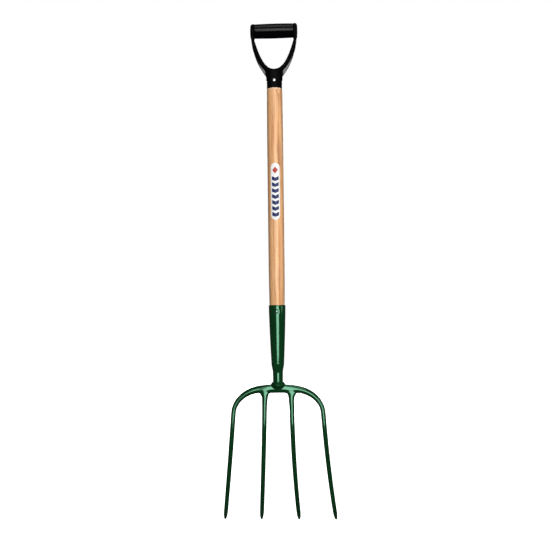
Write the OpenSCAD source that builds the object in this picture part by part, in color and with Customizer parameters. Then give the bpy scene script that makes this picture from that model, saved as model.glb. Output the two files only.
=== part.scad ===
// Four-tine digging fork with a wooden shaft and a D grip.
// The shaft stands along +Z with its axis at X = Y = 0, and the tine points are at Z = 0.
// The label and the rivet heads are on the -Y side, and the tines curve away towards +Y.

/* [Crossbar] */
// Height of the crossbar's centre line above the tine points
crossbar_z = 323; // [300:1:345]
// Thickness of the crossbar up and down at the ends of its straight part
crossbar_h = 18; // [15:0.5:20]
// Extra height of the crossbar's top edge under the collar
crossbar_rise = 2.4; // [0:0.4:4]
// Thickness of the crossbar front to back
crossbar_d = 13; // [11:0.5:15]
// Half of the crossbar's straight length
crossbar_half = 36; // [30:1:42]
// Width of one shoulder, from the straight part to the outer tine
shoulder_w = 70.5; // [60:0.5:80]
// Drop of the shoulder from the crossbar to the top of the outer tine
shoulder_h = 58; // [50:1:66]

/* [Tines] */
// Half of the distance between the inner tines at the crossbar
inner_half = 31.5; // [27:0.5:35]
// Outward lean of an outer tine below its shoulder, in degrees
outer_splay = 4; // [2:0.5:6]
// Outward lean of an inner tine below the crossbar, in degrees
inner_splay = 0.7; // [0.5:0.1:2.5]
// Radius of the outer tines' sideways bow
outer_bow_r = 3600; // [2500:100:6000]
// Radius of the inner tines' sideways bow
inner_bow_r = 5000; // [4500:100:12000]
// Radius of the dish that all the tines follow
dish_r = 520; // [460:10:700]
// Angle at which the tines leave the crossbar towards the label side, in degrees
dish_lead = 11; // [5:0.5:14]
// Width of a tine below the crossbar
tine_w = 11.8; // [9:0.2:13]
// Width of a tine where its point starts
tine_end_w = 10.4; // [8:0.2:11]
// Depth of a tine as a part of its width
tine_oval = 0.9; // [0.75:0.05:1]
// Length of the tapered point
point_l = 20; // [14:1:28]
// Extra half width of an inner tine's root
root_flare = 14; // [8:0.5:15]
// Distance over which the root's flare fades
root_fade = 9.5; // [7:0.5:12]

/* [Collar and tang] */
// Diameter of the collar at its widest
collar_d = 34.6; // [31:0.2:36]
// Height of the collar's top face above the crossbar's centre line
collar_h = 18; // [17:0.5:20]
// Diameter of the shank inside the ferrule's neck
shank_d = 20; // [17:0.5:20]
// Length of the tang above the shank
tang_l = 108; // [90:1:112]

/* [Ferrule] */
// Height of the ferrule's top rim
ferrule_top = 523.5; // [505:0.5:540]
// Outer diameter at the top rim
ferrule_d = 39.8; // [39:0.2:42]
// Outer diameter just above the shoulder
ferrule_low_d = 30.4; // [29:0.2:32]
// Outer diameter of the neck
neck_d = 24; // [23.8:0.2:25]
// Wall thickness
ferrule_wall = 1.8; // [1.2:0.1:1.8]

/* [Shaft] */
// Largest diameter of the shaft
shaft_d = 38; // [36.5:0.5:40]
// Diameter of the tenon in the grip's socket
tenon_d = 31; // [28:0.5:32]
// Length of the tenon
tenon_l = 43; // [38:1:46]

/* [D grip] */
// Height of the grip socket's lower rim
socket_z = 1036; // [1020:1:1045]
// Outer diameter of the grip's socket
socket_d = 36.6; // [36:0.2:38]
// Height of the hand bar's axis above the socket's lower rim
bar_rise = 138; // [132:1:146]
// Overall width of the grip
grip_w = 111.2; // [106:0.2:120]
// Thickness of each ear beside the hand bar
ear_w = 8.8; // [8:0.2:11]
// Diameter of the ears and of the hand bar's middle
bar_d = 34; // [31:0.5:36]
// Front to back thickness of the arms
arm_d = 22; // [18:0.5:26]
// Diameter of the steel spindle through the hand bar
spindle_d = 8; // [6:0.5:10]

/* [Rivets and label] */
// Diameter of the rivet through the ferrule
ferrule_rivet_d = 5; // [4:0.5:6]
// Distance of that rivet below the ferrule's rim
ferrule_rivet_drop = 15.5; // [12:0.5:20]
// Diameter of the rivet through the grip's socket
grip_rivet_d = 4.5; // [4:0.5:5]
// Distance of that rivet above the socket's rim
grip_rivet_rise = 17; // [14:0.5:20]
// Width of the label
label_w = 22; // [16:1:26]
// Length of the label
label_l = 134; // [100:1:150]
// Height of the label's middle
label_z = 791; // [760:1:810]

/* [Hidden] */
curve_fn = 96;
head_fn = 32;

// Gaps left between pieces that only touch
fit = 0.1;

// Head
ring_sides = 16;
shoulder_steps = 12;
tine_steps = 11;
inner_steps = 16;
point_drops = [1, 0.6, 0.22];
point_widths = [0.97, 0.86, 0.6];
nose_r = 1.8;
collar_z = crossbar_z + collar_h;
collar_round_r = 5.5;
collar_round_z = crossbar_z + 10.5;
collar_lip = 1.6;
shank_z = collar_z + 25;
tang_root_r = 6.5;
tang_end_r = 3.4;
tang_z = shank_z + 6;

// Ferrule
neck_top = collar_z + 21;
shoulder_top = neck_top + 24;
neck_growth = 0.9;
ferrule_steps = 9;
rim_r = 0.9;
ferrule_rivet_z = ferrule_top - ferrule_rivet_drop;

// Shaft
shaft_low_z = shank_z + 7;
swell_low_z = 640;
swell_high_z = 880;
shaft_low_r = ferrule_d / 2 - ferrule_wall - fit;
shaft_top_r = socket_d / 2;
swell_steps = 8;
tang_gap = 0.2;

// D grip
bar_z = socket_z + bar_rise;
crotch_z = bar_z - 93.5;
socket_top_z = socket_z + 47;
arm_foot_z = socket_z + 21;
ear_inner_x = grip_w / 2 - ear_w;
arm_steps = 14;
bar_gap = 0.2;
bar_end_d = bar_d - 1.4;
cap_d = 15;
cap_t = 2;
cap_sink = 2.6;
grip_rivet_z = socket_z + grip_rivet_rise;
label_t = 0.2;
burr_t = 1;
dome_steps = 6;

function smooth(t) = let (c = min(max(t, 0), 1)) c * c * (3 - 2 * c);
function signed_pow(v, p) = sign(v) * pow(abs(v), p);

// ---- Head ----
// The head lies on a dished sheet. A place on it is x and the drop u below the crossbar.
function dish_angle(u) = asin(u / dish_r - sin(dish_lead));
function dish_y(u) = dish_r * (cos(dish_lead) - cos(dish_angle(u)));
function dish_front(u) = let (a = dish_angle(u)) [0, -cos(a), -sin(a)];
function on_dish(s) = [s[0], dish_y(s[1]), crossbar_z - s[1]];

// A station is [x, u, half width, half depth, squareness].
function unit(v) = v / norm(v);
function heading(list, i) =
    unit(on_dish(list[min(i + 1, len(list) - 1)]) - on_dish(list[max(i - 1, 0)]));
function ring(list, i, turn) =
    let (s = list[i], front = dish_front(s[1]), side = cross(heading(list, i), front))
    [for (k = [0 : ring_sides - 1])
        let (a = 360 * k / ring_sides + turn)
        on_dish(s)
            + side * s[2] * signed_pow(cos(a), 2 / s[4])
            + front * s[3] * signed_pow(sin(a), 2 / s[4])];

// A bar with a ring at each station. All its rings are turned by the angle turn.
module limb(list, turn = 0) {
    last = (len(list) - 1) * ring_sides;
    polyhedron(
        points = [for (i = [0 : len(list) - 1]) each ring(list, i, turn)],
        faces = [
            [for (k = [ring_sides - 1 : -1 : 0]) k],
            for (i = [0 : len(list) - 2]) for (k = [0 : ring_sides - 1])
                let (a = i * ring_sides, next = (k + 1) % ring_sides)
                [a + k, a + next, a + ring_sides + next, a + ring_sides + k],
            [for (k = [0 : ring_sides - 1]) last + k]
        ]
    );
}

// Half width of a tine at the drop u, before its point
function tine_half(u) = let (t = u / (crossbar_z - point_l)) (tine_w * (1 - t) + tine_end_w * t) / 2;

function outer_x(u) =
    let (d = u - shoulder_end_u)
    shoulder_end_x + d * tan(outer_splay) + d * d / (2 * outer_bow_r);
function inner_x(u) = inner_half + u * tan(inner_splay) + u * u / (2 * inner_bow_r);

function tine_station(x, u) = [x, u, tine_half(u), tine_half(u) * tine_oval, 2];

shoulder_end = atan(shoulder_w / shoulder_h / tan(outer_splay));
shoulder_end_x = crossbar_half + shoulder_w * sin(shoulder_end);
shoulder_end_u = shoulder_h * (1 - cos(shoulder_end));

function bar_station(x) =
    let (rise = crossbar_rise / 2 * (1 - pow(x / crossbar_half, 4)))
    [x, -rise, crossbar_h / 2 + rise, crossbar_d / 2, 2.6];
function shoulder_station(t) =
    let (
        a = shoulder_end * t,
        u = shoulder_h * (1 - cos(a)),
        bar_part = pow(1 - t, 1.4),
        half = crossbar_h / 2 * bar_part + tine_half(u) * (1 - bar_part),
        deep = crossbar_d / 2 * (1 - t) + tine_half(u) * tine_oval * t
    )
    [crossbar_half + shoulder_w * sin(a), u, half, deep, 2.6 - 0.6 * t];

half_arch = [
    for (x = [crossbar_half / 3, crossbar_half * 2 / 3]) bar_station(x),
    for (i = [0 : shoulder_steps]) shoulder_station(i / shoulder_steps),
    for (i = [1 : tine_steps])
        let (u = shoulder_end_u + (crossbar_z - point_l - shoulder_end_u) * i / tine_steps)
        tine_station(outer_x(u), u)
];
function mirrored(s) = [-s[0], s[1], s[2], s[3], s[4]];
arch = [
    for (i = [len(half_arch) - 1 : -1 : 0]) mirrored(half_arch[i]),
    bar_station(0),
    each half_arch
];

inner_tine = [
    for (i = [0 : inner_steps])
        let (
            u = (crossbar_z - point_l) * pow(i / inner_steps, 2),
            flare = root_flare * exp(-u / root_fade),
            s = tine_station(inner_x(u), u)
        )
        [s[0], s[1], s[2] + flare, s[3], 2 + 0.06 * flare]
];

// The point narrows in two straight steps to a small round nose.
module tine_point(x_at_tip, x_above) {
    function place(v) = x_at_tip + (x_above - x_at_tip) * v / point_l;
    function cut(i, lift) =
        let (u = crossbar_z - point_drops[i] * point_l - lift, half = tine_half(u) * point_widths[i])
        [place(crossbar_z - u), u, half, half * tine_oval, 2];
    hull() limb([cut(0, 0.5), cut(1, 0)], 180 / ring_sides);
    hull() {
        limb([cut(1, 0.3), cut(2, 0)]);
        translate(on_dish([place(nose_r), crossbar_z - nose_r])) sphere(r = nose_r, $fn = 12);
    }
}

module fork_head() {
    above = crossbar_z - point_l;
    color("#16402a") union() {
        limb(arch);
        for (side = [-1, 1]) {
            limb([for (s = inner_tine) [side * s[0], s[1], s[2], s[3], s[4]]]);
            tine_point(side * outer_x(crossbar_z), side * outer_x(above));
            tine_point(side * inner_x(crossbar_z), side * inner_x(above));
        }
        rotate_extrude($fn = head_fn) polygon([
            [0, crossbar_z - 3],
            [7, crossbar_z - 2],
            [10.5, crossbar_z + 1.5],
            for (i = [0 : 8])
                let (a = -60 + 15 * i)
                [collar_d / 2 - collar_round_r * (1 - cos(a)), collar_round_z + collar_round_r * sin(a)],
            [neck_d / 2 + collar_lip, collar_z],
            [shank_d / 2, collar_z],
            [shank_d / 2, shank_z],
            [tang_root_r, tang_z],
            [tang_end_r, tang_z + tang_l - 6],
            [1, tang_z + tang_l],
            [0, tang_z + tang_l]
        ]);
    }
}

// ---- Ferrule ----
// Where z lies between two heights, from 0 to 1
function share(z, low, high) = (z - low) / (high - low);
// Outer radius of the ferrule: a nearly straight neck, an S-shaped shoulder and a curved taper
function ferrule_d_at(z) =
    z < neck_top ? neck_d + neck_growth * share(z, collar_z, neck_top)
    : z < shoulder_top
        ? neck_d + neck_growth
            + (ferrule_low_d - neck_d - neck_growth) * smooth(share(z, neck_top, shoulder_top))
    : ferrule_d - (ferrule_d - ferrule_low_d) * pow(1 - share(z, shoulder_top, ferrule_top), 1.4);
function ferrule_r(z) = ferrule_d_at(z) / 2;

ferrule_levels = [
    collar_z,
    for (i = [0 : 5]) neck_top + (shoulder_top - neck_top) * i / 5,
    for (i = [1 : ferrule_steps - 1])
        shoulder_top + (ferrule_top - shoulder_top) * i / ferrule_steps
];

module ferrule() {
    low = collar_z + fit;
    color("#17482f") difference() {
        rotate_extrude($fn = curve_fn) polygon([
            [ferrule_r(low), low],
            for (i = [1 : len(ferrule_levels) - 1]) [ferrule_r(ferrule_levels[i]), ferrule_levels[i]],
            [ferrule_d / 2, ferrule_top - rim_r],
            [ferrule_d / 2 - 0.3 * rim_r, ferrule_top - 0.3 * rim_r],
            [ferrule_d / 2 - rim_r, ferrule_top],
            [ferrule_d / 2 - ferrule_wall, ferrule_top],
            for (i = [len(ferrule_levels) - 1 : -1 : 1])
                [ferrule_r(ferrule_levels[i]) - ferrule_wall, ferrule_levels[i]],
            [ferrule_r(low) - ferrule_wall, low]
        ]);
        cross_hole(ferrule_rivet_z, ferrule_rivet_d);
    }
}

// A hole front to back through the axis
module cross_hole(z, d) {
    translate([0, 0, z]) rotate([90, 0, 0]) cylinder(d = d, h = 60, center = true, $fn = 48);
}

// ---- Shaft ----
function shaft_r(z) =
    z < swell_low_z
        ? shaft_d / 2 - (shaft_d / 2 - shaft_low_r) * pow((swell_low_z - z) / (swell_low_z - ferrule_top), 2)
    : z < swell_high_z ? shaft_d / 2
    : shaft_d / 2 - (shaft_d / 2 - shaft_top_r) * pow((z - swell_high_z) / (socket_z - swell_high_z), 2);

module shaft() {
    inside = [for (z = ferrule_levels) if (z > shaft_low_z) z];
    tenon_top = socket_z + tenon_l;
    color("#d9a06c") difference() {
        rotate_extrude($fn = curve_fn) polygon([
            [tang_root_r + tang_gap, shaft_low_z],
            [ferrule_r(shaft_low_z) - ferrule_wall - fit, shaft_low_z],
            for (z = inside) [ferrule_r(z) - ferrule_wall - fit, z],
            for (i = [0 : swell_steps])
                let (z = ferrule_top + (swell_low_z - ferrule_top) * i / swell_steps) [shaft_r(z), z],
            for (i = [0 : swell_steps])
                let (z = swell_high_z + (socket_z - fit - swell_high_z) * i / swell_steps) [shaft_r(z), z],
            [tenon_d / 2, socket_z - fit],
            [tenon_d / 2, tenon_top - 2],
            [tenon_d / 2 - 2, tenon_top],
            [0, tenon_top],
            [0, tang_z + tang_l + 4],
            [tang_end_r + tang_gap, tang_z + tang_l - 4]
        ]);
        cross_hole(ferrule_rivet_z, ferrule_rivet_d);
        cross_hole(grip_rivet_z, grip_rivet_d);
    }
}

// ---- Rivets ----
// Domed cap of height h and diameter d, with its flat side on the X-Y plane
module dome(d, h) {
    r = (d * d / 4 + h * h) / (2 * h);
    spread = asin(d / 2 / r);
    rotate_extrude($fn = 64) polygon([
        for (i = [0 : dome_steps]) let (a = spread * i / dome_steps) [r * sin(a), h - r + r * cos(a)],
        [0, 0]
    ]);
}

// Rivet front to back at the height z. Its head, towards -Y, has a hollow seat on the round
// surface of radius seat_r. So does its tail, unless washer_t lifts it onto a washer.
module rivet(z, d, seat_r, head_d, head_h, tail_d, tail_h, washer_t = 0) {
    shank_end = seat_r + washer_t;
    skirt = washer_t > 0 ? 0 : 1;
    translate([0, 0, z]) {
        translate([0, shank_end, 0]) rotate([90, 0, 0])
            cylinder(d = d - 0.05, h = 2 * seat_r + washer_t, $fn = 48);
        difference() {
            union() {
                translate([0, 1 - seat_r, 0]) rotate([90, 0, 0]) {
                    cylinder(d = head_d, h = 1, $fn = 48);
                    translate([0, 0, 1]) dome(head_d, head_h);
                }
                translate([0, shank_end - skirt, 0]) rotate([-90, 0, 0]) {
                    if (skirt > 0) cylinder(d = tail_d, h = skirt, $fn = 48);
                    translate([0, 0, skirt]) dome(tail_d, tail_h);
                }
            }
            translate([0, 0, -20]) cylinder(r = seat_r, h = 40, $fn = curve_fn);
        }
    }
}

module ferrule_rivet() {
    seat = ferrule_r(ferrule_rivet_z) + 0.1;
    color("#b9c0c2") rivet(ferrule_rivet_z, ferrule_rivet_d, seat, 9, 1.9, 7.6, 1.3);
}

module grip_rivet() {
    color("#d6d9da") rivet(grip_rivet_z, grip_rivet_d, socket_d / 2 + 0.1, 7.8, 1.9, 6.4, 1.2, burr_t);
}

// Washer under the grip rivet's tail, hollowed to sit on the round socket
module grip_rivet_burr() {
    seat = socket_d / 2 + 0.1;
    color("#c3c6c8") difference() {
        translate([0, seat - 0.6, grip_rivet_z]) rotate([-90, 0, 0])
            cylinder(d = 9.5, h = burr_t + 0.6, $fn = 64);
        cross_hole(grip_rivet_z, grip_rivet_d);
        translate([0, 0, socket_z]) cylinder(r = seat, h = 2 * grip_rivet_rise, $fn = curve_fn);
    }
}

// ---- Label ----
module shaft_label() {
    color("#f4f4f0") intersection() {
        translate([0, 0, label_z]) difference() {
            cylinder(r = shaft_d / 2 + label_t, h = label_l + 2, center = true, $fn = curve_fn);
            cylinder(r = shaft_d / 2 + 0.01, h = label_l + 4, center = true, $fn = curve_fn);
        }
        translate([0, 0, label_z]) rotate([90, 0, 0]) linear_extrude(shaft_d) union() {
            square([label_w, label_l - label_w], center = true);
            for (side = [-1, 1]) translate([0, side * (label_l - label_w) / 2]) circle(d = label_w, $fn = 64);
        }
    }
}

// ---- D grip ----
// Half width of the grip's outline at the height z
function arm_out(z) = let (fall = bar_z + 1.6 - z) grip_w / 2 - 0.083 * fall - 0.0000202 * pow(fall, 3);
// Height of the hand opening's edge at the distance x from the middle
function opening_z(x) = crotch_z + 0.028 * x * x + 0.000002 * pow(x, 4);
// Half depth of the grip at the height z
function grip_half_d(z) = arm_d / 2 + 4 * smooth((crotch_z + 6 - z) / 30);

module arms() {
    levels = [for (i = [0 : arm_steps]) arm_foot_z + (bar_z - arm_foot_z) * i / arm_steps];
    outline = [
        for (z = levels) [arm_out(z), z],
        for (i = [arm_steps : -1 : 0]) [-arm_out(levels[i]), levels[i]]
    ];
    opening = [
        for (i = [-arm_steps : arm_steps]) let (x = ear_inner_x * i / arm_steps) [x, opening_z(x)],
        [ear_inner_x, bar_z + 1],
        [-ear_inner_x, bar_z + 1]
    ];
    depth_levels = [for (i = [0 : 10]) arm_foot_z - 1 + (bar_z + 2 - arm_foot_z) * i / 10];
    depth = [
        for (z = depth_levels) [grip_half_d(z), z],
        for (i = [len(depth_levels) - 1 : -1 : 0]) [-grip_half_d(depth_levels[i]), depth_levels[i]]
    ];
    intersection() {
        rotate([90, 0, 0]) linear_extrude(60, center = true) difference() {
            polygon(outline);
            polygon(opening);
        }
        rotate([90, 0, 90]) linear_extrude(grip_w + 2, center = true) polygon(depth);
    }
}

module ear(side) {
    profile = [
        [0, 0],
        [bar_d / 2 - 0.8, 0],
        [bar_d / 2, 0.8],
        for (i = [0 : 5])
            let (a = 15 * i)
            [bar_d / 2 - 4 + 4 * cos(a), ear_w - 4.6 + 4 * sin(a)],
        [bar_d / 2 - 7, ear_w],
        [0, ear_w]
    ];
    translate([side * ear_inner_x, 0, bar_z]) rotate([0, side * 90, 0])
        rotate_extrude($fn = curve_fn) polygon(profile);
}

module grip_yoke() {
    color("#1c1d1f") difference() {
        union() {
            translate([0, 0, socket_z]) rotate_extrude($fn = curve_fn) polygon([
                [0, 0],
                [socket_d / 2 - 0.6, 0],
                [socket_d / 2, 0.6],
                [socket_d / 2, socket_top_z - socket_z - 9],
                [socket_d / 2 - 2.2, socket_top_z - socket_z - 3],
                [socket_d / 2 - 6, socket_top_z - socket_z],
                [0, socket_top_z - socket_z]
            ]);
            arms();
            for (side = [-1, 1]) ear(side);
        }
        translate([0, 0, socket_z - 1]) cylinder(d = tenon_d + 2 * fit, h = tenon_l + 1.5, $fn = curve_fn);
        cross_hole(grip_rivet_z, grip_rivet_d);
        translate([0, 0, bar_z]) rotate([0, 90, 0])
            cylinder(d = spindle_d, h = grip_w + 2, center = true, $fn = 48);
        for (side = [-1, 1]) translate([side * (grip_w / 2 - cap_sink), 0, bar_z]) rotate([0, side * 90, 0])
            cylinder(d = cap_d, h = cap_sink + 1, $fn = 64);
    }
}

module grip_barrel() {
    half = ear_inner_x - bar_gap;
    bow = 10;
    color("#202125") translate([0, 0, bar_z]) rotate([0, 90, 0]) difference() {
        rotate_extrude($fn = curve_fn) polygon([
            [0, -half],
            [bar_end_d / 2 - 0.8, -half],
            for (i = [-bow : bow])
                let (t = i / bow)
                [bar_end_d / 2 + (bar_d - bar_end_d) / 2 * cos(90 * t), t * (half - 0.8)],
            [bar_end_d / 2 - 0.8, half],
            [0, half]
        ]);
        cylinder(d = spindle_d, h = 2 * half + 2, center = true, $fn = 48);
    }
}

module grip_spindle() {
    color("#8d9194") translate([0, 0, bar_z]) rotate([0, 90, 0])
        cylinder(d = spindle_d - 0.05, h = grip_w - 2 * cap_sink + 2, center = true, $fn = 48);
}

// Push-on caps that close the ears and hold the spindle, one on each side
module spindle_caps() {
    color("#26282b") for (side = [-1, 1])
        translate([side * (grip_w / 2 - cap_sink), 0, bar_z]) rotate([0, side * 90, 0]) difference() {
            union() {
                cylinder(d = cap_d - 0.2, h = cap_t - 0.8, $fn = 64);
                translate([0, 0, cap_t - 0.8]) dome(cap_d - 0.2, 0.8);
            }
            translate([0, 0, -1]) cylinder(d = spindle_d, h = 2.05, $fn = 48);
        }
}

fork_head();
ferrule();
shaft();
ferrule_rivet();
shaft_label();
grip_yoke();
grip_barrel();
grip_spindle();
spindle_caps();
grip_rivet();
grip_rivet_burr();
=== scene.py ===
"""Looks of a four-tine digging fork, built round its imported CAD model.

Shapes are in millimetres until a mesh is made. Materials, lights and the camera are in metres.
The shaft stands along Z, and the side with the label faces -Y.
"""

import math

import bmesh
import bpy
import numpy as np
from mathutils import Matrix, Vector


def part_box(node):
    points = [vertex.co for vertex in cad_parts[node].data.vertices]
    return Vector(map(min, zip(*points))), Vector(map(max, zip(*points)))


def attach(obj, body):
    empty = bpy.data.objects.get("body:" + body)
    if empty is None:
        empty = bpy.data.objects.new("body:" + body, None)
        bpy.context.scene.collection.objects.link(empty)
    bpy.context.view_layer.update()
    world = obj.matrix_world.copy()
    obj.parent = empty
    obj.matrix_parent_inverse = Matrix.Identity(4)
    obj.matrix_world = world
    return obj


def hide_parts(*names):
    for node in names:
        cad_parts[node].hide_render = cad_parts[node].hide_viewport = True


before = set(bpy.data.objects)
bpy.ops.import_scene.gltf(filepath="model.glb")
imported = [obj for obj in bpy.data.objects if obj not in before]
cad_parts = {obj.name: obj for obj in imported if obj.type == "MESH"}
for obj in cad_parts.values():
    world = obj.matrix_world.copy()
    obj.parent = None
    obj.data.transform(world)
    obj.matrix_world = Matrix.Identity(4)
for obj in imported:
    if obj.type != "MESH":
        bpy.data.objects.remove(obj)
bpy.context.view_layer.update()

MM = 0.001
MERGE = 0.001  # points closer than this, in millimetres, are one point


def box_mm(node):
    low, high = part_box(node)
    return np.array(low) / MM, np.array(high) / MM


# ---- Places and sizes from the CAD nodes ----
ferrule_low, ferrule_high = box_mm("ferrule")
shaft_low, shaft_high = box_mm("shaft")
label_low, label_high = box_mm("shaft_label")
yoke_low, yoke_high = box_mm("grip_yoke")
barrel_low, barrel_high = box_mm("grip_barrel")

CROSSBAR_DROP = 18
SOCKET_R = 18.3
EAR_GAP = 0.2

COLLAR_Z = ferrule_low[2]
CROSSBAR_Z = COLLAR_Z - CROSSBAR_DROP
FERRULE_TOP = ferrule_high[2]
FERRULE_R = ferrule_high[0]
SHAFT_R = shaft_high[0]
SOCKET_Z = yoke_low[2]
BAR_Z = (barrel_low[2] + barrel_high[2]) / 2
BAR_R = barrel_high[1]
GRIP_HALF = yoke_high[0]
EAR_INNER = barrel_high[0] + EAR_GAP


# ---- Small helpers ----
def smooth(t):
    t = np.clip(t, 0, 1)
    return t * t * (3 - 2 * t)


def mesh_object(name, points, faces):
    """A closed mesh with smooth faces, from points in millimetres."""
    mesh = bpy.data.meshes.new(name)
    mesh.from_pydata([tuple(p) for p in np.asarray(points, float) * MM], [], faces)
    work = bmesh.new()
    work.from_mesh(mesh)
    bmesh.ops.recalc_face_normals(work, faces=work.faces)
    work.to_mesh(mesh)
    work.free()
    mesh.shade_smooth()
    piece = bpy.data.objects.new(name, mesh)
    bpy.context.scene.collection.objects.link(piece)
    return piece


def applied(piece, *modifiers):
    """Adds the modifiers, given as (type, settings), and keeps only their result."""
    for kind, settings in modifiers:
        modifier = piece.modifiers.new(kind, kind)
        for key, value in settings.items():
            setattr(modifier, key, value)
    view = bpy.context.evaluated_depsgraph_get()
    result = bpy.data.meshes.new_from_object(piece.evaluated_get(view))
    piece.modifiers.clear()
    piece.data = result
    return piece


def crease(piece, degrees):
    """Merges points that coincide, then shades the piece smooth, with sharp edges where its
    surface turns by more than an angle."""
    work = bmesh.new()
    work.from_mesh(piece.data)
    bmesh.ops.remove_doubles(work, verts=work.verts, dist=MERGE * MM)
    work.to_mesh(piece.data)
    work.free()
    piece.data.shade_smooth()
    piece.data.set_sharp_from_angle(angle=math.radians(degrees))
    return piece


def finished(piece, material, slot, *nodes):
    """Paints a piece, fixes it to the fork's one body, and hides the CAD nodes it stands for."""
    piece.data.materials.clear()
    piece.data.materials.append(material)
    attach(piece, "root")
    if nodes:
        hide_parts(*nodes)
    return piece


def lathe(name, profile, sides, axis="z", centre=(0, 0, 0)):
    """Turns a profile of (radius, place along the axis) round an axis. Both its ends have radius
    0, or else the profile is a closed loop."""
    points, rings = [], []
    for r, along in profile:
        if r < MERGE:
            rings.append([len(points)])
            points.append((0, 0, along))
            continue
        rings.append(list(range(len(points), len(points) + sides)))
        points += [
            (r * math.cos(a), r * math.sin(a), along)
            for a in (2 * math.pi * k / sides for k in range(sides))
        ]
    loop = len(rings[0]) > 1
    following = rings[1:] + rings[:1] if loop else rings[1:]
    faces = []
    for a, b in zip(rings, following):
        for k in range(sides):
            n = (k + 1) % sides
            corners = [a[k % len(a)], a[n % len(a)], b[n % len(b)], b[k % len(b)]]
            faces.append(list(dict.fromkeys(corners)))
    points = np.array(points, float)
    if axis == "x":
        points = points[:, [2, 0, 1]]
    if axis == "y":
        points = points[:, [1, 2, 0]]
    return mesh_object(name, points + np.array(centre), faces)


def arc(centre_r, centre_z, radius, start, end, steps):
    """Points (radius, height) on a round corner of a profile, between two angles in degrees."""
    return [
        (centre_r + radius * math.cos(a), centre_z + radius * math.sin(a))
        for a in np.radians(np.linspace(start, end, steps + 1))
    ]


# ---- Surfaces from a distance field, for the moulded grip ----
def soft_min(a, b, k):
    """The lower of two fields, blended where they are within k of each other."""
    h = np.maximum(k - np.abs(a - b), 0)
    return np.minimum(a, b) - h * h / (4 * k)


def soft_max(a, b, k):
    """The higher of two fields, blended where they are within k of each other."""
    return -soft_min(-a, -b, k)


def field_slope(field, points, d=0.02):
    """The field's gradient at points, over a distance of 2 d."""
    steps = np.eye(3) * d
    return np.stack([(field(points + s) - field(points - s)) / (2 * d) for s in steps], -1)


NET_ROUNDS = 6
LEAST_SLOPE_SQUARE = 0.05


def surface_net(name, field, low, high, step):
    """A closed mesh where the field is 0, with one point in each grid cell that the surface
    crosses. The points start at the cells' middles and move onto the surface in a few rounds."""
    axes = [np.arange(a, b + step, step) for a, b in zip(low, high)]
    size = tuple(len(a) for a in axes)
    grid = np.stack(np.meshgrid(*axes, indexing="ij"), -1).reshape(-1, 3)
    inside = (field(grid) < 0).reshape(size)
    cells = tuple(n - 1 for n in size)
    total = np.zeros(cells, int)
    for dx, dy, dz in np.ndindex(2, 2, 2):
        total += inside[dx : dx + cells[0], dy : dy + cells[1], dz : dz + cells[2]]
    mixed = (total > 0) & (total < 8)
    number = np.full(cells, -1)
    number[mixed] = np.arange(mixed.sum())
    points = (np.argwhere(mixed) + 0.5) * step + np.array(low)
    for _ in range(NET_ROUNDS):
        slope = field_slope(field, points)
        square = np.maximum((slope**2).sum(-1), LEAST_SLOPE_SQUARE)
        move = -slope * (field(points) / square)[:, None]
        points = points + np.clip(move, -step, step)
    faces = []
    for axis in range(3):
        u, v = (axis + 1) % 3, (axis + 2) % 3
        ahead = np.roll(inside, -1, axis)
        crossed = inside != ahead
        low_edge, high_edge = [1, 1, 1], [n - 1 for n in size]
        low_edge[axis] = 0
        window = tuple(slice(a, b) for a, b in zip(low_edge, high_edge))
        found = np.argwhere(crossed[window]) + np.array(low_edge)
        corners = []
        for du, dv in ((1, 1), (0, 1), (0, 0), (1, 0)):
            place = found.copy()
            place[:, u] -= du
            place[:, v] -= dv
            corners.append(number[tuple(place.T)])
        faces += np.stack(corners, -1).tolist()
    return mesh_object(name, points, faces)


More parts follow.
